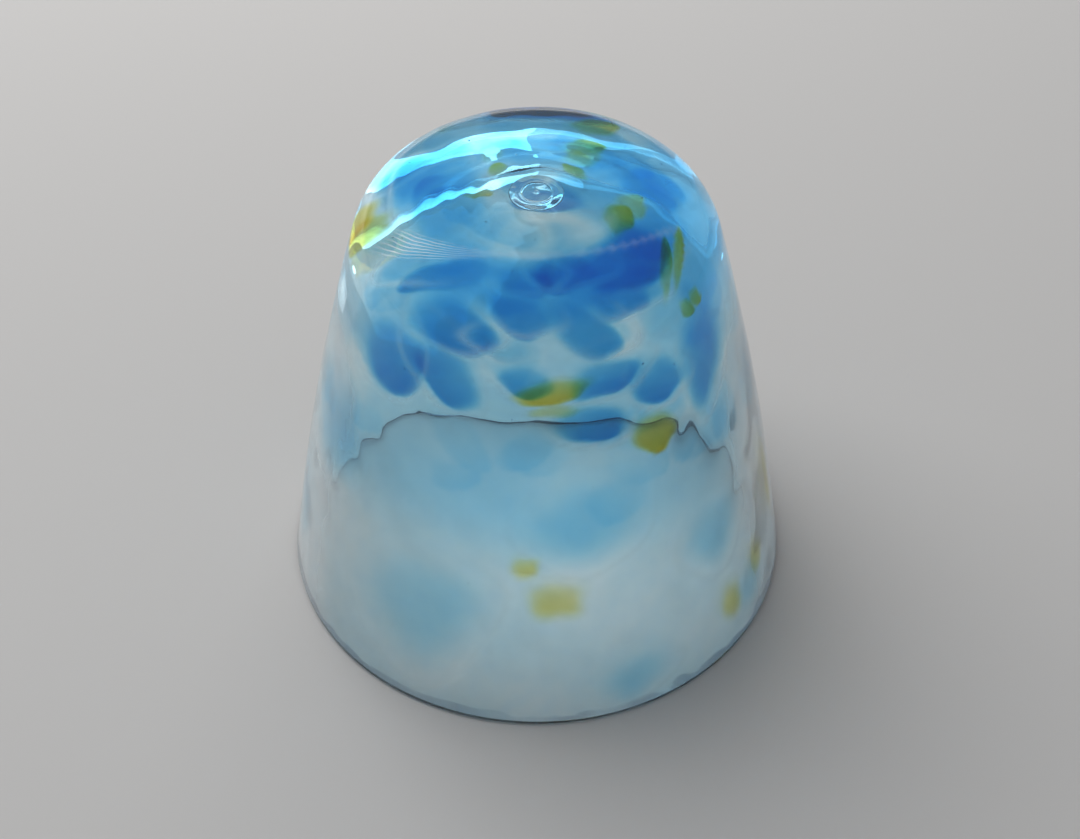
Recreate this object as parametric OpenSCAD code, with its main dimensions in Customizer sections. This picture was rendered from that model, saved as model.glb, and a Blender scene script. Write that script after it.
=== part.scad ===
// Bell-shaped blown-glass tumbler, standing mouth down.
// Two gathers of clear glass, with blue and amber chips of coloured glass sealed between them, and a pressed seal on
// the foot. Z = 0 is the plane of the rim, the Z axis is the axis of the glass, and -Y is the front.

/* [Outside] */
// Diameter over the rim
rim_d = 90; // [86:0.5:94]
// Height from the rim to the foot
height = 84; // [83:0.5:88]
// Lean of the wall at the rim, inward per mm of height
wall_lean = 0.134; // [0.12:0.002:0.14]
// Belly of the wall, further lean gained per mm of height
wall_belly = 0.0008; // [0.0006:0.0001:0.0009]
// Height of the rounded shoulder
shoulder_h = 10.5; // [9:0.5:12]
// Diameter of the foot
foot_d = 28; // [26:1:32]
// Depth of the dish inside the foot
dish_depth = 1; // [0.9:0.1:1.2]

/* [Cavity] */
// Thickness of the wall at the rim
rim_wall = 1.8; // [1.8:0.1:2]
// Depth of the cavity
cavity_h = 78; // [77:0.5:78]
// Lean of the cavity wall, inward per mm of height
cavity_lean = 0.195; // [0.195:0.005:0.205]
// Roundness of the cavity's closed end, more being squarer
cavity_round = 11; // [10:0.5:11]
// Radius of the fire-polished lip
lip_r = 0.6; // [0.4:0.1:0.7]

/* [Layers] */
// Thickness of the outer gather at the rim
casing_t = 0.9; // [0.9:0.05:1]
// Height of the joint between the gathers, on the axis
joint_h = 80.5; // [80.25:0.25:80.75]
// Lean of the joint between the gathers
joint_lean = 0.175; // [0.17:0.001:0.176]
// Roundness of the joint's closed end, more being squarer
joint_round = 10; // [10:0.5:11]
// Thickness of a blue chip
blue_t = 0.8; // [0.4:0.1:0.8]
// Thickness of an amber chip
amber_t = 0.5; // [0.3:0.1:0.5]

/* [Seal] */
// Diameter of the pontil seal
seal_d = 9; // [8:0.5:10]
// Thickness of the pontil seal
seal_t = 0.5; // [0.4:0.05:0.6]
// Diameter of the ring pressed up on the seal
ring_d = 5.6; // [5:0.1:6]

/* [Hidden] */
$fn = 96;
eps = 0.01;
rim_r = rim_d / 2;
foot_r = foot_d / 2;
shoulder_z = height - shoulder_h;
dish_r = foot_r - 1.8;
dish_z = height - dish_depth;
bezier_round = 0.55;
wall_steps = 10;
shoulder_steps = 12;
dome_steps = 18;
lip_steps = 4;
outline_points = 14;

// Every chip is cut out by a prism that points outward from the heart, a point on the axis. A row is
// [azimuth from the front, elevation seen from the heart, width, length, tilt], in degrees and mm.
heart_z = 42;
prism_start = 12;
prism_h = 60;

BLUE = [
    // upper front, a crowd of petals
    [-44, 61.5, 11, 3.5, 34],
    [-8, 65, 6.5, 3.5, -10],
    [18, 67, 7, 5, 0],
    [50, 64, 11, 7, -7],
    [35, 58, 8, 3.5, -15],
    [-34, 52.5, 11.5, 4.5, -3],
    [-8, 58, 8, 3.5, -21],
    [16, 54.5, 9, 4.5, -36],
    [-9, 51, 5.5, 2.5, -3],
    [-28, 43, 9.5, 6, -40],
    [-50, 40, 10, 9.5, -9],
    [-3, 44, 6.5, 3.5, -17],
    [21, 43, 9, 4, 11],
    [38, 38, 8, 5.5, -40],
    [15, 32, 8.5, 5, -17],
    [58, 37, 7.5, 15.5, -16],
    // base
    [-88, 70, 13, 9, 0],
    [112, 60, 9, 6, 10],
    [177, 64, 22, 8, 0],
    [-128, 57, 15, 9, 0],
    // lower front and the sides
    [23, -37, 22, 8, 8],
    [-30, -22, 24, 17, 12],
    [50, -15, 14, 13, 0],
    [14, 4, 18, 19, 0],
    [-66, 5, 17, 22, 15],
    [-84, -30, 12, 15, 0],
    [62, -36, 10, 6, 20],
    [96, 10, 20, 24, -15],
    // back
    [134, 2, 20, 22, 12],
    [160, -24, 18, 13, -20],
    [172, 18, 17, 18, 0],
    [-158, -8, 16, 18, 20],
    [-128, 8, 17, 22, -10],
    [-108, -26, 17, 14, 0],
    [116, -28, 18, 13, 10],
];

AMBER = [
    // shoulder and base
    [-90, 51, 6, 8, 0],
    [156, 56, 8, 6, 0],
    [71, 70, 6.5, 5, 0],
    [-139, 75, 4, 3, 0],
    [137, 76, 5, 2.5, 0],
    [60, 56, 9.5, 2, 30],
    [57, 48, 3, 2.5, -20],
    // upper front
    [5, 41, 12.5, 3.5, 9],
    [34, 24, 9.5, 6.5, -44],
    // lower front and the right side
    [-3, -10, 5.5, 4.5, 0],
    [5, -19, 10, 8, -20],
    [53, -35, 6, 7, 0],
    [66, -33, 5, 5.5, 0],
    [81, -22, 4, 17, 0],
    // back
    [178, -38, 10, 6, 0],
    [-150, 30, 9, 6, 25],
];

function node_name(kind, i) = str(kind, "_chip_", i + 1 < 10 ? "0" : "", i + 1);

// Radius of the outer wall at height z, and its slope there
function wall_r(z) = rim_r - wall_lean * z - wall_belly * z * z;
function wall_slope(z) = -wall_lean - 2 * wall_belly * z;

// Points of an arc in the (r, z) plane
function arc(centre, r, from, to, steps) =
    [for (i = [0:steps]) let (a = from + (to - from) * i / steps) centre + r * [cos(a), sin(a)]];

// A point of a cubic Bezier curve
function bezier(p, t) =
    pow(1 - t, 3) * p[0] + 3 * pow(1 - t, 2) * t * p[1] + 3 * (1 - t) * t * t * p[2] + pow(t, 3) * p[3];

// Closed dome from height z0 to its top on the axis: a leaning wall that rounds over at the top
function dome(start_r, lean, top, roundness, z0) =
    [for (i = [0:dome_steps])
        let (z = z0 + (top - z0) * sin(90 * i / dome_steps))
        [(start_r - lean * z) * sqrt(max(0, 1 - pow(z / top, roundness))), z]];

// The joint between the gathers, moved outward by d
function joint_curve(d, z0) = dome(rim_r - casing_t + d, joint_lean, joint_h + d, joint_round, z0);
function reversed(points) = [for (i = [len(points) - 1:-1:0]) points[i]];

shoulder_start = [wall_r(shoulder_z), shoulder_z];
shoulder_end = [foot_r, height];
shoulder_points = [
    shoulder_start,
    shoulder_start + bezier_round * shoulder_h * [wall_slope(shoulder_z), 1],
    shoulder_end + bezier_round * [shoulder_start[0] - foot_r, 0],
    shoulder_end,
];

outer_curve = concat(
    arc([rim_r - lip_r, lip_r], lip_r, -90, 0, lip_steps),
    [for (i = [1:wall_steps]) let (z = lip_r + (shoulder_z - lip_r) * i / wall_steps) [wall_r(z), z]],
    [for (i = [1:shoulder_steps]) bezier(shoulder_points, i / shoulder_steps)],
    [[dish_r, height], [dish_r - dish_depth, dish_z], [0, dish_z]]
);

cavity_curve = concat(
    arc([rim_r - rim_wall + lip_r, lip_r], lip_r, 270, 180, lip_steps),
    dome(rim_r - rim_wall, cavity_lean, cavity_h, cavity_round, 2 * lip_r)
);

// Outline of a chip: an oval with a slightly uneven edge, different for each seed
module chip_outline(w, l, seed) {
    polygon([for (i = [0:outline_points - 1])
        let (a = 360 * i / outline_points, k = 1 + 0.06 * sin(2 * a + 50 * seed) + 0.04 * cos(3 * a - 70 * seed))
        [w / 2 * k * cos(a), l / 2 * k * sin(a)]]);
}

module chip_prism(row, seed) {
    translate([0, 0, heart_z])
        rotate([90 - row[1], 0, row[0]])
        rotate([0, 0, row[4]])
        translate([0, 0, prism_start])
        linear_extrude(prism_h) chip_outline(row[2], row[3], seed);
}

// The thin layer that chips lie in, between two offsets of the joint
module chip_layer(inner, outer) {
    low = lip_r;
    rotate_extrude() polygon(concat(joint_curve(outer, low), reversed(joint_curve(inner, low))));
}

module blue_chip(i) {
    color([0.12, 0.45, 0.85]) intersection() {
        chip_layer(-blue_t, 0);
        chip_prism(BLUE[i], i);
    }
}

module amber_chip(i) {
    color([0.85, 0.6, 0.1]) intersection() {
        chip_layer(0, amber_t);
        chip_prism(AMBER[i], i + 5);
    }
}

module inner_gather() {
    color([0.75, 0.88, 0.95]) difference() {
        rotate_extrude() polygon(concat(
            [[rim_r - casing_t, 0]],
            cavity_curve,
            reversed(joint_curve(0, lip_r))
        ));
        for (i = [0:len(BLUE) - 1]) blue_chip(i);
    }
}

module outer_gather() {
    color([0.82, 0.92, 0.97]) difference() {
        rotate_extrude() polygon(concat(
            [[rim_r - casing_t, 0]],
            outer_curve,
            reversed(joint_curve(0, lip_r))
        ));
        for (i = [0:len(AMBER) - 1]) amber_chip(i);
    }
}

// A flattened dab of glass in the dish, with a plain ring and a round dot pressed up on it
module pontil_seal() {
    ring_w = 0.5;
    relief = 0.25;
    dot_d = 1.6;
    color([0.8, 0.9, 0.92]) translate([0, 0, dish_z]) union() {
        rotate_extrude() polygon(concat(
            [[0, 0]],
            arc([seal_d / 2 - seal_t, 0], seal_t, 0, 90, lip_steps),
            [[0, seal_t]]
        ));
        difference() {
            cylinder(h = seal_t + relief, d = ring_d);
            translate([0, 0, -eps]) cylinder(h = seal_t + relief + 2 * eps, d = ring_d - 2 * ring_w);
        }
        cylinder(h = seal_t + relief, d = dot_d);
    }
}

inner_gather();
outer_gather();
pontil_seal();
for (i = [0:len(BLUE) - 1]) blue_chip(i);
for (i = [0:len(AMBER) - 1]) amber_chip(i);
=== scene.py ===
import math
import random

import bmesh
import bpy
import numpy as np
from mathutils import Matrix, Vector


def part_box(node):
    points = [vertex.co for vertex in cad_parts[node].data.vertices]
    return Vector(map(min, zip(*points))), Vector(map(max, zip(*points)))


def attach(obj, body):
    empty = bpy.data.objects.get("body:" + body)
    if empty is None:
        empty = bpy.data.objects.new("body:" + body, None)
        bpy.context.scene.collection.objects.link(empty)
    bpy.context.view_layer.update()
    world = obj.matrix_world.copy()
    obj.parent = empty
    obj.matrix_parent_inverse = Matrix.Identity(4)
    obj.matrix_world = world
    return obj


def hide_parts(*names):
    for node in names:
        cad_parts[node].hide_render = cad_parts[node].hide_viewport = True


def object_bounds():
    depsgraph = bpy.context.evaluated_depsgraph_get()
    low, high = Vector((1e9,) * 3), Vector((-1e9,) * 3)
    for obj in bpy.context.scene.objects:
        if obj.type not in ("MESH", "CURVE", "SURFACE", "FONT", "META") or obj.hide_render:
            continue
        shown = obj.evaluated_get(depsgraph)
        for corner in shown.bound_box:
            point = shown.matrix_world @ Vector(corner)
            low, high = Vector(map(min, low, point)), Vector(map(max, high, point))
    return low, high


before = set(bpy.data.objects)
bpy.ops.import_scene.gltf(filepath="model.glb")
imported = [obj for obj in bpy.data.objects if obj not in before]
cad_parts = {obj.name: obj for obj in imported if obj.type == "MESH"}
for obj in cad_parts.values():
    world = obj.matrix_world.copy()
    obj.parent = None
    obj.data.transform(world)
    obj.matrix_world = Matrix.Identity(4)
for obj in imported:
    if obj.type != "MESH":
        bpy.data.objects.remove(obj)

CAD_LOW, CAD_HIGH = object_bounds()
MM = 0.001
BODY = "root"

# The outline of the glass, as in the design, on the sizes of the frame
RIM_R = CAD_HIGH.x
HEIGHT = CAD_HIGH.z
WALL_LEAN = 0.134
WALL_BELLY = 0.8
SHOULDER_H = 10.5 * MM
FOOT_R = 14 * MM
RIM_WALL = 1.8 * MM
CAVITY_LEAN = 0.195
CAVITY_ROUND = 11
CAVITY_H = 78 * MM
LIP_R = 0.6 * MM
JOINT_T = 0.9 * MM
JOINT_LEAN = 0.175
JOINT_ROUND = 10
JOINT_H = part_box("inner_gather")[1].z
DISH_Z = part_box("pontil_seal")[0].z
SEAL_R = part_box("pontil_seal")[1].x
HEART = np.array([0, 0, HEIGHT / 2])

# Points in each stretch of the outline, and faces round the axis
LIP_STEPS = 7
WALL_STEPS = 84
SHOULDER_STEPS = 34
FOOT_STEPS = 26
NEAR_STEPS = 12
CAVITY_STEPS = 72
ROUND_STEPS = 384

# How far the handles of the shoulder's curve reach, and the share of the dish's designed depth that is shown
BEZIER_ROUND = 0.55
DISH_SHARE = 0.55

# How strongly a unit of coloured glass takes red, green and blue out of the light
BLUE_TAKES = np.array([1.12, 0.31, 0.025])
CHIP_TAKES = np.array([1.0, 0.31, 0.09])
AMBER_TAKES = np.array([0.06, 0.4, 2.2])
# How strongly the painted shade at the lip, a stand-in for the rim's contact shadow, takes red, green and
# blue out of the light
RIM_SHADE_TAKES = np.array([7.0, 6.2, 5.0])

# Places where the blue is thin. A row is the turn from the front, the rise seen from the heart and the size,
# all in degrees, and the share of the blue that is gone in the middle. The first row thins the blue where
# petals meet and is also a painted highlight, a bright crossing of light drawn as a nearly clear spot.
PALE_SPOTS = (
    (27, 50, 7, 0.9),
    (-22, 48, 6, 0.5),
    (-11, 50, 5, 0.5),
    (4, 36, 8, 0.25),
    (-40, 46, 4, 0.7),
    (30, 27, 9, 0.25),
    (0, 84, 10, 0.8),
)


# ---------------------------------------------------------------- outline

def wall_radius(z):
    return RIM_R - WALL_LEAN * z - WALL_BELLY * z * z


def dome_radius(z, start, lean, top, roundness):
    return (start - lean * z) * np.sqrt(np.clip(1 - (z / top) ** roundness, 0, None))


def cavity_radius(z):
    return dome_radius(z, RIM_R - RIM_WALL, CAVITY_LEAN, CAVITY_H, CAVITY_ROUND)


def joint_radius(z):
    return dome_radius(z, RIM_R - JOINT_T, JOINT_LEAN, JOINT_H, JOINT_ROUND)


def arc(centre, radius, start, end, steps):
    turn = np.radians(np.linspace(start, end, steps))
    return np.stack([centre[0] + radius * np.cos(turn), centre[1] + radius * np.sin(turn)], 1)


def smooth_step(x):
    x = np.clip(x, 0, 1)
    return x * x * (3 - 2 * x)


def outer_outline():
    """Points (radius, height) from the lip up the wall, over the shoulder and foot, to the dish's middle."""
    shoulder_z = HEIGHT - SHOULDER_H
    z = np.linspace(LIP_R, shoulder_z, WALL_STEPS)[1:]
    wall = np.stack([wall_radius(z), z], 1)
    start = wall[-1]
    end = np.array([FOOT_R, HEIGHT])
    slope = -WALL_LEAN - 2 * WALL_BELLY * shoulder_z
    p1 = start + BEZIER_ROUND * SHOULDER_H * np.array([slope, 1])
    p2 = end + BEZIER_ROUND * np.array([start[0] - FOOT_R, 0])
    t = np.linspace(0, 1, SHOULDER_STEPS)[1:, None]
    shoulder = (1 - t) ** 3 * start + 3 * (1 - t) ** 2 * t * p1 + 3 * (1 - t) * t * t * p2 + t ** 3 * end
    r = np.linspace(FOOT_R, 0, FOOT_STEPS)[1:]
    down = DISH_SHARE * smooth_step((FOOT_R - r - 0.7 * MM) / (8.5 * MM))
    foot = np.stack([r, HEIGHT - (HEIGHT - DISH_Z) * down], 1)
    lip = arc((RIM_R - LIP_R, LIP_R), LIP_R, -90, 0, LIP_STEPS)
    return np.vstack([lip, wall, shoulder, foot])


def cavity_outline():
    """Points (radius, height) from the lip up the cavity's wall to its top on the axis."""
    near = 4 * MM
    turn = np.radians(np.linspace(0, 90, CAVITY_STEPS))
    low = np.linspace(1.5 * LIP_R, near, NEAR_STEPS)[:-1]
    z = np.concatenate([low, near + (CAVITY_H - near) * np.sin(turn)])
    lip = arc((RIM_R - RIM_WALL + LIP_R, LIP_R), LIP_R, 270, 180, LIP_STEPS)
    return np.vstack([lip[:-1], np.stack([cavity_radius(z), z], 1)])


# ---------------------------------------------------------------- meshes

def make_object(name, points, faces, material, smooth=True):
    mesh = bpy.data.meshes.new(name)
    mesh.from_pydata([tuple(p) for p in points], [], faces)
    mesh.validate()
    mesh.update()
    if smooth:
        mesh.shade_smooth()
    obj = bpy.data.objects.new(name, mesh)
    bpy.context.scene.collection.objects.link(obj)
    obj.data.materials.append(material)
    return obj


def revolve(outline, steps):
    """Points, outward normals and faces of an outline turned about Z. Its ends may lie on the axis."""
    turn = np.arange(steps) * 2 * math.pi / steps
    tangent = np.gradient(outline, axis=0)
    normal = np.stack([tangent[:, 1], -tangent[:, 0]], 1)
    normal /= np.linalg.norm(normal, axis=1)[:, None]
    points, normals, faces, rings = [], [], [], []
    for (r, z), (nr, nz) in zip(outline, normal):
        if r < 1e-7:
            rings.append([len(points)])
            points.append((0, 0, z))
            normals.append((0, 0, math.copysign(1, nz)))
            continue
        rings.append(list(range(len(points), len(points) + steps)))
        points += list(zip(r * np.sin(turn), -r * np.cos(turn), z + 0 * turn))
        normals += list(zip(nr * np.sin(turn), -nr * np.cos(turn), nz + 0 * turn))
    for low, high in zip(rings, rings[1:]):
        for i in range(steps):
            j = (i + 1) % steps
            if len(low) == 1:
                faces.append((low[0], high[j], high[i]))
            elif len(high) == 1:
                faces.append((low[i], low[j], high[0]))
            else:
                faces.append((low[i], low[j], high[j], high[i]))
    return np.array(points), np.array(normals), faces


def waves(points, length, seed, count=24):
    """A smooth random field over points, about 1 high and with bumps of about the given length."""
    rng = np.random.default_rng(seed)
    ways = rng.normal(size=(count, 3))
    ways /= np.linalg.norm(ways, axis=1)[:, None]
    turns = ways * (2 * math.pi / length * rng.uniform(0.7, 1.4, count))[:, None]
    phases = rng.uniform(0, 2 * math.pi, count)
    return np.sin(points @ turns.T + phases).sum(1) / math.sqrt(count / 2)


def unit(v):
    return v / np.linalg.norm(v)


def way_to(azimuth, elevation):
    """Unit vector from the heart, in degrees from the front and above the level."""
    a, e = math.radians(azimuth), math.radians(elevation)
    return np.array([math.sin(a) * math.cos(e), -math.cos(a) * math.cos(e), math.sin(e)])


def on_surface(ways, radius_at, top):
    """Where rays from the heart, along unit ways, meet a turned surface."""
    low = np.zeros(len(ways))
    high = np.full(len(ways), 0.1)
    for _ in range(30):
        t = (low + high) / 2
        p = HEART + ways * t[:, None]
        out = (np.hypot(p[:, 0], p[:, 1]) > radius_at(np.clip(p[:, 2], 0, top))) | (p[:, 2] > top)
        low = np.where(out, low, t)
        high = np.where(out, t, high)
    return HEART + ways * low[:, None]


def on_joint(ways):
    return on_surface(ways, joint_radius, JOINT_H)


# ---------------------------------------------------------------- camera, light and floor

def point_at(obj, target):
    way = Vector(target) - obj.location
    obj.rotation_mode = "QUATERNION"
    obj.rotation_quaternion = way.to_track_quat("-Z", "Y")


# The camera looks down by the pitch at a point behind the axis. Its lens is in mm on a 36 mm sensor
CAMERA_PITCH = math.radians(46)
CAMERA_DISTANCE = 10.0 * RIM_R
CAMERA_AIM = Vector((0.0006, 0.65 * RIM_R, 0))
CAMERA_LENS = 76

# The row of lamps behind the glass stands at this y, in metres
GLOW_Y = 0.2


def make_camera():
    data = bpy.data.cameras.new("camera")
    data.sensor_width = 36
    data.lens = CAMERA_LENS
    camera = bpy.data.objects.new("camera", data)
    back = Vector((0, -math.cos(CAMERA_PITCH), math.sin(CAMERA_PITCH)))
    camera.location = CAMERA_AIM + CAMERA_DISTANCE * back
    bpy.context.scene.collection.objects.link(camera)
    point_at(camera, CAMERA_AIM)
    bpy.context.scene.camera = camera


def make_light(name, place, target, size, radiance, colour=(1, 1, 1)):
    """A soft box that faces a target. Its radiance is that of a floor of the same brightness."""
    data = bpy.data.lights.new(name, "AREA")
    data.shape = "RECTANGLE"
    data.size, data.size_y = size
    data.energy = radiance * math.pi * size[0] * size[1]
    data.color = colour
    light = bpy.data.objects.new(name, data)
    light.location = place
    light.visible_camera = False
    bpy.context.scene.collection.objects.link(light)
    point_at(light, target)
    return light


def make_inner_light():
    """A weak lamp in the cavity that only lights the floor, for the light that walls of glass pass on."""
    radiance = 2.3
    data = bpy.data.lights.new("inner_glow", "AREA")
    data.shape = "DISK"
    data.size = 50 * MM
    data.energy = radiance * math.pi * math.pi * (data.size / 2) ** 2
    data.color = (0.9, 0.98, 1)
    light = bpy.data.objects.new("inner_glow", data)
    light.location = (0, 0, 45 * MM)
    light.visible_camera = False
    light.visible_glossy = False
    light.visible_transmission = False
    bpy.context.scene.collection.objects.link(light)


def make_lights():
    low = make_light(
        "low_window", place=(-0.22, 0.5, 0.13), target=(-0.22, 0, 0.13),
        size=(0.8, 0.26), radiance=3.2, colour=(1, 0.985, 0.96),
    )
    low.visible_glossy = False
    low.visible_transmission = False
    high = make_light(
        "high_window", place=(-0.55, 0.45, 1.0), target=(0, 0, 0.04), size=(1.1, 1.1), radiance=2.4,
    )
    high.visible_glossy = False
    # Name, x and z of the middle, width, height and radiance, in metres
    glows = (
        ("back_glow_left", -0.14, 0.041, 0.28, 0.08, 2.7),
        ("back_glow_middle", 0.03, 0.041, 0.06, 0.08, 0.9),
        ("back_glow_right", 0.13, 0.041, 0.14, 0.08, 0.3),
        ("back_glow_high", 0, 0.15, 0.7, 0.138, 0.46),
    )
    for name, x, z, width, height, radiance in glows:
        glow = make_light(name, (x, GLOW_Y, z), (x, 0, z), (width, height), radiance, (0.97, 0.99, 1))
        glow.visible_diffuse = False
        glow.visible_glossy = False
    make_inner_light()


def make_world():
    world = bpy.data.worlds.new("soft_daylight")
    bpy.context.scene.world = world
    world.use_nodes = True
    background = world.node_tree.nodes["Background"]
    background.inputs["Color"].default_value = (0.95, 0.97, 1, 1)
    background.inputs["Strength"].default_value = 0.34


def make_floor():
    floor_material = bpy.data.materials.new("floor_paper")
    floor_material.use_nodes = True
    p = floor_material.node_tree.nodes["Principled BSDF"]
    p.inputs["Base Color"].default_value = (0.56, 0.55, 0.54, 1)
    p.inputs["Roughness"].default_value = 0.9
    size = 3
    corners = [(-size, -size, 0), (size, -size, 0), (size, size, 0), (-size, size, 0)]
    floor = make_object("floor", corners, [(0, 1, 2, 3)], floor_material, smooth=False)
    floor.location.z = CAD_LOW.z - 0.2 * MM


# ---------------------------------------------------------------- materials

def noise_node(nodes, links, scale, detail):
    """A noise texture over the piece's own coordinates, with the scale in bumps per metre."""
    place = nodes.new("ShaderNodeTexCoord")
    noise = nodes.new("ShaderNodeTexNoise")
    noise.inputs["Scale"].default_value = scale
    noise.inputs["Detail"].default_value = detail
    links.new(place.outputs["Object"], noise.inputs["Vector"])
    return noise.outputs["Fac"]


def ranged(nodes, links, value, low, high):
    """A value from 0 to 1, moved to the range from low to high."""
    node = nodes.new("ShaderNodeMapRange")
    node.inputs["To Min"].default_value = low
    node.inputs["To Max"].default_value = high
    links.new(value, node.inputs["Value"])
    return node.outputs["Result"]


def read_attribute(nodes, name, output):
    node = nodes.new("ShaderNodeAttribute")
    node.attribute_name = name
    return node.outputs[output]


def glass_material(name, absorbs, density, ior, rough=0.02, bump=0.0):
    """Glass that takes colour out of light by the length of its way through it."""
    material = bpy.data.materials.new(name)
    material.use_nodes = True
    nodes, links = material.node_tree.nodes, material.node_tree.links
    p = nodes["Principled BSDF"]
    p.inputs["Base Color"].default_value = (1, 1, 1, 1)
    p.inputs["IOR"].default_value = ior
    p.inputs["Transmission Weight"].default_value = 1
    if rough:
        links.new(ranged(nodes, links, noise_node(nodes, links, 260, 4), 0, rough), p.inputs["Roughness"])
    else:
        p.inputs["Roughness"].default_value = 0
    if bump:
        node = nodes.new("ShaderNodeBump")
        node.inputs["Strength"].default_value = bump
        node.inputs["Distance"].default_value = 0.1 * MM
        links.new(noise_node(nodes, links, 420, 3), node.inputs["Height"])
        links.new(node.outputs["Normal"], p.inputs["Normal"])
    volume = nodes.new("ShaderNodeVolumeAbsorption")
    volume.inputs["Color"].default_value = (*absorbs, 1)
    volume.inputs["Density"].default_value = density
    links.new(volume.outputs["Volume"], nodes["Material Output"].inputs["Volume"])
    return material


def ring_lines(nodes, links):
    """Wavy rings round the axis, from 0 to 1."""
    rings = nodes.new("ShaderNodeTexWave")
    rings.wave_type = "RINGS"
    rings.rings_direction = "Z"
    rings.inputs["Scale"].default_value = 110
    rings.inputs["Distortion"].default_value = 2.5
    rings.inputs["Detail"].default_value = 2
    rings.inputs["Detail Scale"].default_value = 0.5
    place = nodes.new("ShaderNodeTexCoord")
    links.new(place.outputs["Object"], rings.inputs["Vector"])
    return rings.outputs["Fac"]


def thread_lines(nodes, links):
    """Thin white threads across the band where the wall's points ask for them."""
    wander = nodes.new("ShaderNodeMath")
    wander.operation = "MULTIPLY_ADD"
    wander.inputs[1].default_value = 1.6
    links.new(noise_node(nodes, links, 170, 2), wander.inputs[0])
    links.new(read_attribute(nodes, "lane", "Fac"), wander.inputs[2])
    turn = nodes.new("ShaderNodeMath")
    turn.operation = "MULTIPLY"
    turn.inputs[1].default_value = 2 * math.pi
    links.new(wander.outputs[0], turn.inputs[0])
    swing = nodes.new("ShaderNodeMath")
    swing.operation = "SINE"
    links.new(turn.outputs[0], swing.inputs[0])
    thin = nodes.new("ShaderNodeMapRange")
    thin.interpolation_type = "SMOOTHSTEP"
    thin.inputs["From Min"].default_value = 0.1
    thin.inputs["From Max"].default_value = 1.0
    links.new(swing.outputs[0], thin.inputs["Value"])
    both = nodes.new("ShaderNodeMath")
    both.operation = "MULTIPLY"
    links.new(thin.outputs["Result"], both.inputs[0])
    links.new(read_attribute(nodes, "thread", "Fac"), both.inputs[1])
    return both.outputs[0]


def wall_material():
    """Clear glass whose skin is tinted, milky and rippled by the values held at its points. The tint holds
    painted shade at the lip, and the milk holds painted light on the flanks.
    """
    material = glass_material("veiled_glass", (0.15, 0.6, 0.85), 9, 1.5, 0.02)
    nodes, links = material.node_tree.nodes, material.node_tree.links
    p = nodes["Principled BSDF"]
    cloud = nodes.new("ShaderNodeMix")
    cloud.data_type = "RGBA"
    cloud.blend_type = "MULTIPLY"
    cloud.inputs[0].default_value = 1
    links.new(read_attribute(nodes, "tint", "Color"), cloud.inputs[6])
    shade = nodes.new("ShaderNodeCombineColor")
    grain = noise_node(nodes, links, 330, 6)
    for channel, low in (("Red", 0.8), ("Green", 0.92), ("Blue", 0.97)):
        links.new(ranged(nodes, links, grain, low, 1.08), shade.inputs[channel])
    links.new(shade.outputs["Color"], cloud.inputs[7])
    threads = thread_lines(nodes, links)
    whiten = nodes.new("ShaderNodeMix")
    whiten.data_type = "RGBA"
    whiten.inputs[7].default_value = (0.88, 0.94, 1, 1)
    links.new(threads, whiten.inputs[0])
    links.new(cloud.outputs[2], whiten.inputs[6])
    links.new(whiten.outputs[2], p.inputs["Base Color"])
    hide = nodes.new("ShaderNodeMath")
    hide.operation = "MULTIPLY_ADD"
    hide.inputs[1].default_value = -0.4
    links.new(threads, hide.inputs[0])
    links.new(read_attribute(nodes, "clear", "Fac"), hide.inputs[2])
    links.new(hide.outputs[0], p.inputs["Transmission Weight"])

    chill = nodes.new("ShaderNodeMath")
    chill.operation = "MULTIPLY"
    links.new(ring_lines(nodes, links), chill.inputs[0])
    links.new(read_attribute(nodes, "chill", "Fac"), chill.inputs[1])
    total = nodes.new("ShaderNodeMath")
    total.operation = "MULTIPLY_ADD"
    total.inputs[1].default_value = 0.12
    links.new(noise_node(nodes, links, 520, 4), total.inputs[0])
    links.new(chill.outputs[0], total.inputs[2])
    bump = nodes.new("ShaderNodeBump")
    bump.inputs["Strength"].default_value = 0.5
    bump.inputs["Distance"].default_value = 0.03 * MM
    links.new(total.outputs[0], bump.inputs["Height"])
    links.new(bump.outputs["Normal"], p.inputs["Normal"])
    return material


CLEAR = glass_material("clear_glass", (0.2, 0.75, 0.95), 8, 1.5, 0.03, 0.3)
VEILED = wall_material()
BLUE = glass_material("blue_glass", tuple(1 - CHIP_TAKES * 0.97), 5100, 1.0, 0)
AMBER = glass_material("amber_glass", tuple(1 - AMBER_TAKES * 0.44), 4500, 1.0, 0)


# ---------------------------------------------------------------- petals of colour

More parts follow.
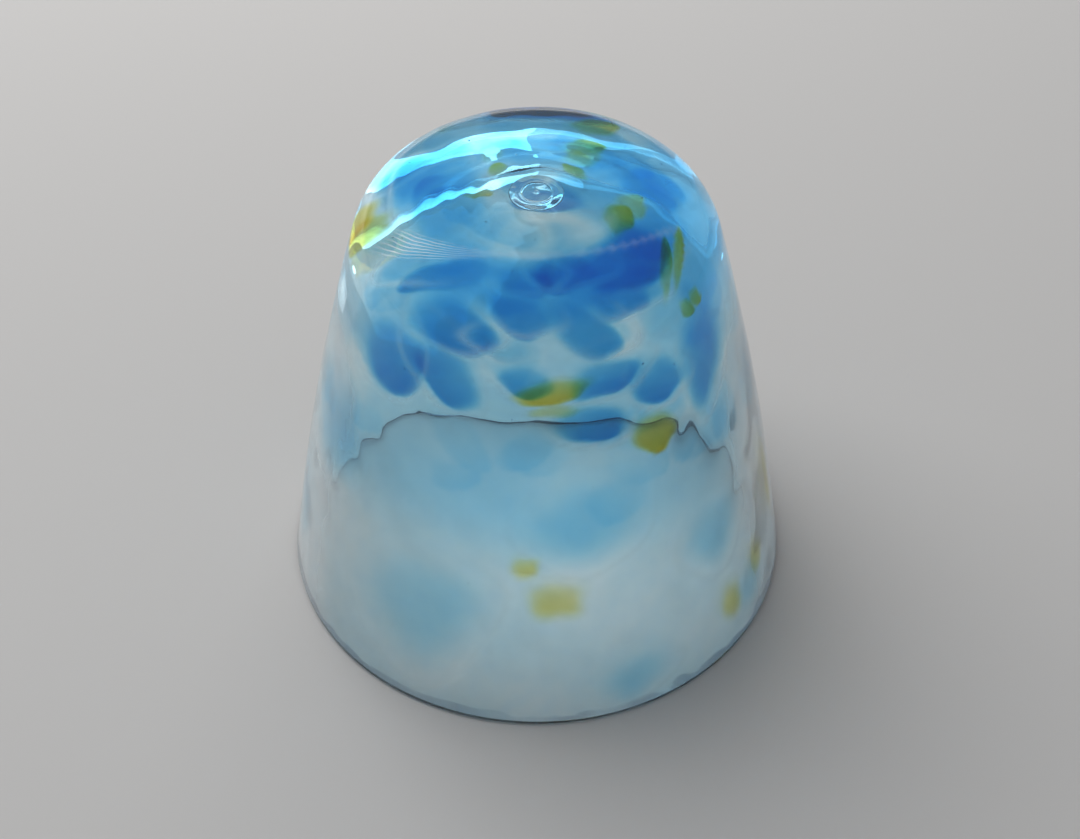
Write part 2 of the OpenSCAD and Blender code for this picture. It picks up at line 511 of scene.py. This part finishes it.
class Petal:
    """An uneven oval of colour on the glass, thick and crisp at one side and fading out at the other."""

    def __init__(self, centre, axis, length, width, seed, strength=1.0, soft=0.6, crisp=0.07):
        rng = random.Random(seed)
        self.centre = np.array(centre)
        self.out = unit(self.centre - HEART)
        self.axis_1 = unit(axis - (axis @ self.out) * self.out)
        self.axis_2 = np.cross(self.out, self.axis_1)
        self.half = (length / 2, width / 2)
        self.strength = strength
        self.soft = soft
        self.crisp = crisp
        self.lobes = [(k, rng.uniform(-0.07, 0.07), rng.uniform(0, 6.3)) for k in (2, 3, 4, 5)]
        level = np.cross((0, 0, 1), self.out)
        right = unit(level) if np.linalg.norm(level) > 0.05 else np.array([1.0, 0, 0])
        down = np.cross(right, self.out)
        turn = rng.uniform(-0.5, 0.8)
        self.thick = math.cos(turn) * down + math.sin(turn) * right

    def reach(self, turn):
        return 1 + sum(size * np.sin(k * turn + phase) for k, size, phase in self.lobes)

    def outline_point(self, rho, turn):
        """Point of the petal's flat outline, rho being 0 in the middle and 1 at the edge."""
        a, b = self.half
        grow = rho * self.reach(turn)
        return (
            self.centre
            + (a * grow * np.cos(turn))[:, None] * self.axis_1
            + (b * grow * np.sin(turn))[:, None] * self.axis_2
        )

    def lowest(self):
        ways = self.outline_point(1, np.linspace(0, 2 * math.pi, 48)) - HEART
        return on_joint(ways / np.linalg.norm(ways, axis=1)[:, None])[:, 2].min()

    def place(self, points):
        """rho of points on the glass, and how far towards the thick side they are, from 0 to 1."""
        ways = points - HEART
        along = ways @ self.out
        facing = along > 0.2 * np.linalg.norm(ways, axis=1)
        flat = ways * ((self.centre - HEART) @ self.out / np.where(facing, along, 1))[:, None]
        flat = flat - (self.centre - HEART)
        u = flat @ self.axis_1 / self.half[0]
        v = flat @ self.axis_2 / self.half[1]
        rho = np.hypot(u, v) / self.reach(np.arctan2(v, u))
        rho = np.where(facing, rho, 9)
        along_1 = self.half[0] * (self.axis_1 @ self.thick)
        along_2 = self.half[1] * (self.axis_2 @ self.thick)
        extent = math.hypot(along_1, along_2)
        return rho, np.clip(flat @ self.thick / extent, -1, 1) / 2 + 0.5

    def thickness(self, points):
        rho, side = self.place(points)
        edge = self.soft - (self.soft - self.crisp) * side
        return smooth_step((1 - rho) / edge) * (0.3 + 0.7 * side ** 1.3)

    def border(self, points):
        """A pale line just outside the crisp side."""
        rho, side = self.place(points)
        width = 0.5 * MM / min(self.half)
        return np.exp(-((rho - 1 - width) / width) ** 2) * (0.2 + 0.8 * side ** 2)


def chip_petal(node, grow):
    """The petal that stands for a chip, on the place and size of its CAD node."""
    co = np.array([v.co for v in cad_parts[node].data.vertices])
    centre = (co.min(0) + co.max(0)) / 2
    out = unit(centre - HEART)
    flat = co - centre
    flat = flat - (flat @ out)[:, None] * out
    _, axes = np.linalg.eigh(flat.T @ flat)
    axis = axes[:, 2]
    across = np.cross(out, axis)
    length = 2 * np.abs(flat @ axis).max() * grow
    width = 2 * np.abs(flat @ across).max() * grow
    if is_upper(node) and axis[2] ** 2 * length < 12 * MM:
        return Petal(centre, axis, length, width, node, soft=0.85, crisp=0.12)
    petal = Petal(centre, axis, length, width, node, soft=0.95, crisp=0.5)
    while petal.lowest() < 2 * MM:
        petal.half = (0.95 * petal.half[0], 0.95 * petal.half[1])
    return petal


SMALL_FILMS = 84
WIDE_FILMS = 26


def film_petals():
    """Thin films of blue between the chips, many small ones near the base and a few wide soft ones below."""
    rng = random.Random("films")
    petals = []
    for i in range(SMALL_FILMS):
        way = way_to(rng.uniform(-180, 180), rng.uniform(8, 80))
        spot = on_joint(way[None])[0]
        axis = np.array([rng.gauss(0, 1), rng.gauss(0, 1), rng.gauss(0, 0.6)])
        size = rng.uniform(9, 17) * MM
        width = size * rng.uniform(0.5, 0.8)
        petals.append(Petal(spot, axis, size, width, "film%d" % i, rng.uniform(0.4, 0.95)))
    for i in range(WIDE_FILMS):
        way = way_to(rng.uniform(-180, 180), rng.uniform(-42, 6))
        spot = on_joint(way[None])[0]
        axis = np.array([rng.gauss(0, 1), rng.gauss(0, 1), rng.gauss(0, 0.6)])
        size = rng.uniform(20, 34) * MM
        width = size * rng.uniform(0.5, 0.7)
        petals.append(Petal(spot, axis, size, width, "cloud%d" % i, rng.uniform(0.1, 0.3), 0.95, 0.7))
    return petals


def is_upper(node):
    low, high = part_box(node)
    return (low.z + high.z) / 2 > 0.6 * HEIGHT


def is_far(node, limit=0.05):
    """Whether a chip is high up and further back than a share of the rim's radius behind the axis."""
    low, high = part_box(node)
    return (low.z + high.z) / 2 > 0.75 * HEIGHT and (low.y + high.y) / 2 > limit * RIM_R


def fullness(node):
    """Small chips are thin, so they colour the glass less. A wide one counts fully."""
    return min(1, PETALS[node].half[1] / (3.4 * MM)) ** 2


BLUE_NODES = sorted(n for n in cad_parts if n.startswith("blue_chip"))
AMBER_NODES = sorted(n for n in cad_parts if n.startswith("amber_chip"))
PETALS = {n: chip_petal(n, 1.6 if is_upper(n) else 1.15) for n in BLUE_NODES}
PETALS.update({n: chip_petal(n, 1.15) for n in AMBER_NODES})


# ---------------------------------------------------------------- glass wall

# How strongly a blue chip colours the skin over it
STRONG_SKIN = 1.1
WEAK_SKIN = 0.6


def amber_skin(node):
    """How strongly an amber chip colours the skin over it, most at the left and right of the shoulder."""
    low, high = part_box(node)
    if high.z > 0.8 * HEIGHT and low.x < -0.4 * RIM_R:
        return 3
    if high.z > 0.85 * HEIGHT and low.x > 0.3 * RIM_R:
        return 2.2
    if is_far(node):
        return 0.5
    return 0.9 if is_upper(node) else 0.6


def skin_fields(points, outside):
    """Blue and amber strength, milkiness and relief of the wall's skin. The extra milk and thinner blue on
    the flanks are painted light, whitening the left and right sides.
    """
    z = points[:, 2]
    cloud = 0.5 + 0.5 * np.clip(waves(points, 26 * MM, 11), -1.2, 1.2)
    fine = 0.5 + 0.5 * np.clip(waves(points, 8 * MM, 12), -1.2, 1.2)
    azimuth = np.degrees(np.arctan2(points[:, 0], -points[:, 1]))
    ways = points - HEART
    elevation = np.degrees(np.arcsin(ways[:, 2] / np.linalg.norm(ways, axis=1)))

    # Parts of the wall, each 1 inside and 0 well outside
    upper = smooth_step((z - 0.36 * HEIGHT) / (0.22 * HEIGHT))
    front = np.exp(-((azimuth - 8) / 55) ** 4)
    belt = smooth_step((elevation - 52) / 8) * smooth_step((70 - elevation) / 4)
    right = smooth_step((azimuth - 55) / 20) * smooth_step((150 - azimuth) / 40)
    flank = smooth_step((np.abs(azimuth) - 50) / 25) * smooth_step((125 - np.abs(azimuth)) / 25)
    low_flank = flank * smooth_step((0.8 * HEIGHT - z) / (0.15 * HEIGHT))

    # A thin veil all over, then the deep belt round the front of the base, then the base's back and right
    blue = 0.03 + 0.1 * cloud + upper * (0.12 + 0.2 * cloud) * (1 - 0.5 * flank)
    blue = blue + upper * front * (0.3 + belt * (1.7 + 1.2 * np.exp(-((azimuth - 42) / 22) ** 2)))
    blue = blue + (1 - front) * smooth_step((elevation - 36) / 16) * (0.12 + 1.3 * right)
    # The first pale spot also paints a highlight into the colour
    for turn, rise, size, strength in PALE_SPOTS:
        gap = np.arccos(np.clip(ways @ way_to(turn, rise) / np.linalg.norm(ways, axis=1), -1, 1))
        blue = blue * (1 - strength * np.exp(-(gap / math.radians(size)) ** 2))
    amber = np.zeros(len(points))
    # A little milk all over is the glass's own haze; the extra milk on the low flanks is painted light that
    # whitens the left and right sides
    milk_and_flank_light = 0.035 + 0.03 * cloud * fine + 0.28 * low_flank
    relief = np.zeros(len(points))

    # Chips and films colour the outer skin only
    skin = points[outside]
    skin_blue = np.zeros(len(skin))
    skin_amber = np.zeros(len(skin))
    lines = np.zeros(len(skin))
    for petal in film_petals():
        skin_blue += petal.strength * petal.thickness(skin)
    for node in BLUE_NODES:
        thick = PETALS[node].thickness(skin)
        strength = STRONG_SKIN if is_upper(node) and not is_far(node) else WEAK_SKIN
        skin_blue += strength * fullness(node) * thick
        lines = np.maximum(lines, (0.9 if is_upper(node) else 0.3) * PETALS[node].border(skin))
        relief[outside] += thick
    for node in AMBER_NODES:
        thick = PETALS[node].thickness(skin)
        skin_amber += amber_skin(node) * thick
        relief[outside] += thick
    blue[outside] += skin_blue * (1 - 0.85 * lines)
    blue[outside] *= np.exp(-1.1 * np.minimum(skin_amber, 1))
    # Thinner blue on the low flanks, painted light that goes with the flank milk
    blue = blue * (1 - 0.6 * low_flank)
    amber[outside] += skin_amber
    milk_and_flank_light[outside] += 0.3 * lines * (1 - np.clip(skin_amber, 0, 1))
    return blue, amber, milk_and_flank_light, relief


def chill_field(points, outside):
    """Where fine rings from the cold iron stay in the cavity's shoulder."""
    z = points[:, 2]
    band = smooth_step((z - 0.7 * HEIGHT) / (0.08 * HEIGHT))
    return np.where(outside, 0, band * smooth_step(0.3 + waves(points, 30 * MM, 21)))


def painted_rim_shade(points, outside):
    """Painted shade on the inner edge of the lip, standing in for the dark contact shadow of the far rim,
    uneven along its way round and weaker at the front.
    """
    azimuth = np.degrees(np.arctan2(points[:, 0], -points[:, 1]))
    uneven = 0.75 + 0.25 * np.clip(waves(points, 16 * MM, 51), -1, 1)
    top = (1.3 + 0.4 * waves(points, 6 * MM, 52)) * MM
    front = np.exp(-(azimuth / 85) ** 4)
    top = np.where(outside, 0.6 * MM, top)
    return smooth_step((top - points[:, 2]) / (0.5 * MM)) * uneven * (1 - np.where(outside, 1, 0.9) * front)


def thread_fields(points, outside):
    """Where a band of fine white threads runs over the shoulder, and a count of threads across it."""
    azimuth = np.degrees(np.arctan2(points[:, 0], -points[:, 1]))
    radius = np.hypot(points[:, 0], points[:, 1]) / MM
    left = smooth_step((-azimuth - 15) / 55)
    across = (radius - 15.2 - 7 * (azimuth / 70) ** 2) / (1.5 + 4.5 * left)
    band = smooth_step(across / 0.15) * smooth_step((1.1 - across) / 0.3)
    ends = smooth_step((azimuth + 76) / 14) * smooth_step((78 - azimuth) / 12)
    return np.where(outside, band * ends * (0.7 + 0.3 * left), 0), 8 * across


def ripple(points, outside):
    """How far hand work moves the skin outward, in metres: slow waves and finer ones."""
    slow = waves(points, 42 * MM, 31) * np.where(outside, 0.05, 0.1)
    quick = waves(points, 10 * MM, 32) * np.where(outside, 0.014, 0.045)
    quick = quick + waves(points, 5 * MM, 33) * np.where(outside, 0.002, 0.008)
    near_axis = np.clip(np.hypot(points[:, 0], points[:, 1]) / (16 * MM), 0, 1)
    lip = smooth_step(points[:, 2] / (2.5 * MM))
    return (slow + quick) * near_axis * lip * MM


BUBBLES = 60


def make_bubbles(count):
    """Points and faces of small round seeds, wound so that the glass is outside them."""
    rng = random.Random("bubbles")
    ball = bmesh.new()
    bmesh.ops.create_icosphere(ball, subdivisions=2, radius=1)
    ball_points = np.array([v.co for v in ball.verts])
    ball_faces = [tuple(v.index for v in reversed(f.verts)) for f in ball.faces]
    ball.free()
    points, faces = [], []
    for _ in range(count):
        way = way_to(rng.uniform(-180, 180), rng.uniform(-35, 78))[None]
        spot = on_joint(way)[0] + way[0] * rng.uniform(0.3, 0.45) * MM
        radius = rng.uniform(0.08, 0.2) * MM
        faces += [tuple(i + len(points) * len(ball_points) for i in f) for f in ball_faces]
        points.append(spot + ball_points * radius)
    return np.vstack(points), faces


def make_wall():
    outline = np.vstack([cavity_outline()[::-1], outer_outline()])
    points, normals, faces = revolve(outline, ROUND_STEPS)
    outside = np.arange(len(points)) >= len(points) - 1 - ROUND_STEPS * (len(outer_outline()) - 1)
    blue, amber, milk_and_flank_light, relief = skin_fields(points, outside)
    chill = chill_field(points, outside)
    push = ripple(points, outside) + 0.03 * MM * relief
    points = points + normals * push[:, None]
    seeds, seed_faces = make_bubbles(BUBBLES)
    faces += [tuple(i + len(points) for i in f) for f in seed_faces]
    empty = np.zeros(len(seeds))
    blue, amber, milk_and_flank_light, chill = (np.concatenate([v, empty]) for v in (blue, amber, milk_and_flank_light, chill))
    wall = make_object("glass_wall", np.vstack([points, seeds]), faces, VEILED)
    # The tint also carries painted shade: a dark edge on the lip where the rim's contact shadow falls
    rim = np.concatenate([painted_rim_shade(points, outside), empty])
    tint = np.exp(-blue[:, None] * BLUE_TAKES - amber[:, None] * AMBER_TAKES - rim[:, None] * RIM_SHADE_TAKES)
    attribute = wall.data.attributes.new("tint", "FLOAT_COLOR", "POINT")
    attribute.data.foreach_set("color", np.hstack([tint, np.ones((len(tint), 1))]).ravel())
    thread, lane = (np.concatenate([v, empty]) for v in thread_fields(points, outside))
    fields = {"clear": 1 - milk_and_flank_light * (1 - rim), "chill": chill, "thread": thread, "lane": lane}
    for name, values in fields.items():
        wall.data.attributes.new(name, "FLOAT", "POINT").data.foreach_set("value", values)
    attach(wall, BODY)
    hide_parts("inner_gather", "outer_gather")


# ---------------------------------------------------------------- chips

LENS_RINGS = (0.2, 0.4, 0.55, 0.68, 0.78, 0.86, 0.92, 0.96, 0.985, 1)
LENS_STEPS = 48
THINNEST_HALF = 0.008 * MM

# How far under the joint the layers of blue chips lie, in mm. Amber chips lie outside the joint
UPPER_LAYERS = (0.35, 0.97, 1.6)
LOWER_LAYERS = (0.4, 0.7)
AMBER_LAYER = -0.3

# Thickness of chips in the middle, in mm
UPPER_BLUE = 0.6
BESIDE_BLUE = 0.267
FAR_BLUE = 0.167
LOWER_BLUE = 0.133
UPPER_AMBER = 0.5
OTHER_AMBER = 0.3


def lens(name, node, material, thickness, depth):
    """A chip as a lens of uneven thickness along the joint, in place of its CAD node."""
    petal = PETALS[node]
    turns = np.arange(LENS_STEPS) * 2 * math.pi / LENS_STEPS
    flat = np.vstack([petal.centre[None]] + [petal.outline_point(q, turns) for q in LENS_RINGS])
    ways = flat - HEART
    ways /= np.linalg.norm(ways, axis=1)[:, None]
    middle = on_joint(ways) - ways * depth
    half = thickness / 2 * petal.thickness(flat)
    half = np.maximum(half, THINNEST_HALF)
    half[-LENS_STEPS:] = 0
    n = len(middle)
    points = np.vstack([middle + ways * half[:, None], (middle - ways * half[:, None])[:-LENS_STEPS]])
    last = len(LENS_RINGS)

    def at(ring, i, under):
        index = 0 if ring == 0 else 1 + (ring - 1) * LENS_STEPS + i % LENS_STEPS
        return index + (n if under and ring < last else 0)

    faces = []
    for i in range(LENS_STEPS):
        faces.append((at(0, 0, False), at(1, i, False), at(1, i + 1, False)))
        faces.append((at(0, 0, True), at(1, i + 1, True), at(1, i, True)))
        for ring in range(1, last):
            quad = ((ring, i), (ring + 1, i), (ring + 1, i + 1), (ring, i + 1))
            faces.append(tuple(at(r, k, False) for r, k in quad))
            faces.append(tuple(at(r, k, True) for r, k in reversed(quad)))
    chip = make_object(name, points, faces, material)
    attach(chip, BODY)
    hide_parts(node)
    return chip


def meets(one, other):
    """Whether two petals overlap, seen from the heart."""
    turns = np.linspace(0, 2 * math.pi, 48, endpoint=False)
    for a, b in ((one, other), (other, one)):
        for rho in (0, 0.5, 1):
            if (a.place(b.outline_point(rho, turns))[0] < 1.05).any():
                return True
    return False


def blue_layers():
    """Depth of each blue chip under the joint, in mm. Chips that overlap lie in different layers."""
    met = {a: [b for b in BLUE_NODES if b != a and meets(PETALS[a], PETALS[b])] for a in BLUE_NODES}
    depths = {}
    for node in sorted(BLUE_NODES, key=lambda n: -len(met[n])):
        taken = {depths[n] for n in met[node] if n in depths}
        layers = UPPER_LAYERS if is_upper(node) else LOWER_LAYERS
        depths[node] = next((depth for depth in layers if depth not in taken), layers[-1])
    return depths


def blue_thickness(node):
    if is_far(node):
        return FAR_BLUE
    if is_far(node, limit=-0.1):
        return BESIDE_BLUE
    return UPPER_BLUE if is_upper(node) else LOWER_BLUE


def make_chips():
    depths = blue_layers()
    for node in BLUE_NODES:
        thickness = blue_thickness(node) * fullness(node)
        chip = lens(node + "_glass", node, BLUE, thickness * MM, depths[node] * MM)
    for node in AMBER_NODES:
        thickness = UPPER_AMBER if is_upper(node) and not is_far(node) else OTHER_AMBER
        chip = lens(node + "_glass", node, AMBER, thickness * MM, AMBER_LAYER * MM)


# ---------------------------------------------------------------- pontil seal

SEAL_STEPS = 60
SEAL_ROUND_STEPS = 96


def make_seal():
    """A flattened dab of glass with a soft ring and a dot pressed up on it, sunk a little into the dish."""
    sunk = 0.15 * MM
    r = np.linspace(SEAL_R, 0, SEAL_STEPS)
    edge = smooth_step((SEAL_R - r) / (1.5 * MM))
    ring = np.exp(-((r - 0.57 * SEAL_R) / (0.2 * MM)) ** 2)
    dot = np.exp(-(r / (0.45 * MM)) ** 4)
    top = DISH_Z + (0.32 * edge + 0.1 * ring + 0.09 * dot) * MM
    top[0] = DISH_Z - 0.1 * MM
    under = np.array([
        [0, DISH_Z - sunk],
        [0.6 * SEAL_R, DISH_Z - sunk],
        [0.97 * SEAL_R, DISH_Z - 0.14 * MM],
    ])
    points, normals, faces = revolve(np.vstack([under, np.stack([r, top], 1)]), SEAL_ROUND_STEPS)
    raised = points[:, 2] > DISH_Z
    points = points + normals * (raised * 0.03 * MM * waves(points, 2.4 * MM, 41))[:, None]
    seal = make_object("pontil_seal_glass", points, faces, CLEAR)
    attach(seal, BODY)
    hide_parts("pontil_seal")


make_camera()
make_world()
make_lights()
make_floor()
make_wall()
make_chips()
make_seal()

scene = bpy.context.scene
scene.cycles.max_bounces = 24
scene.cycles.transmission_bounces = 24
scene.cycles.transparent_max_bounces = 24
scene.view_settings.view_transform = "Standard"
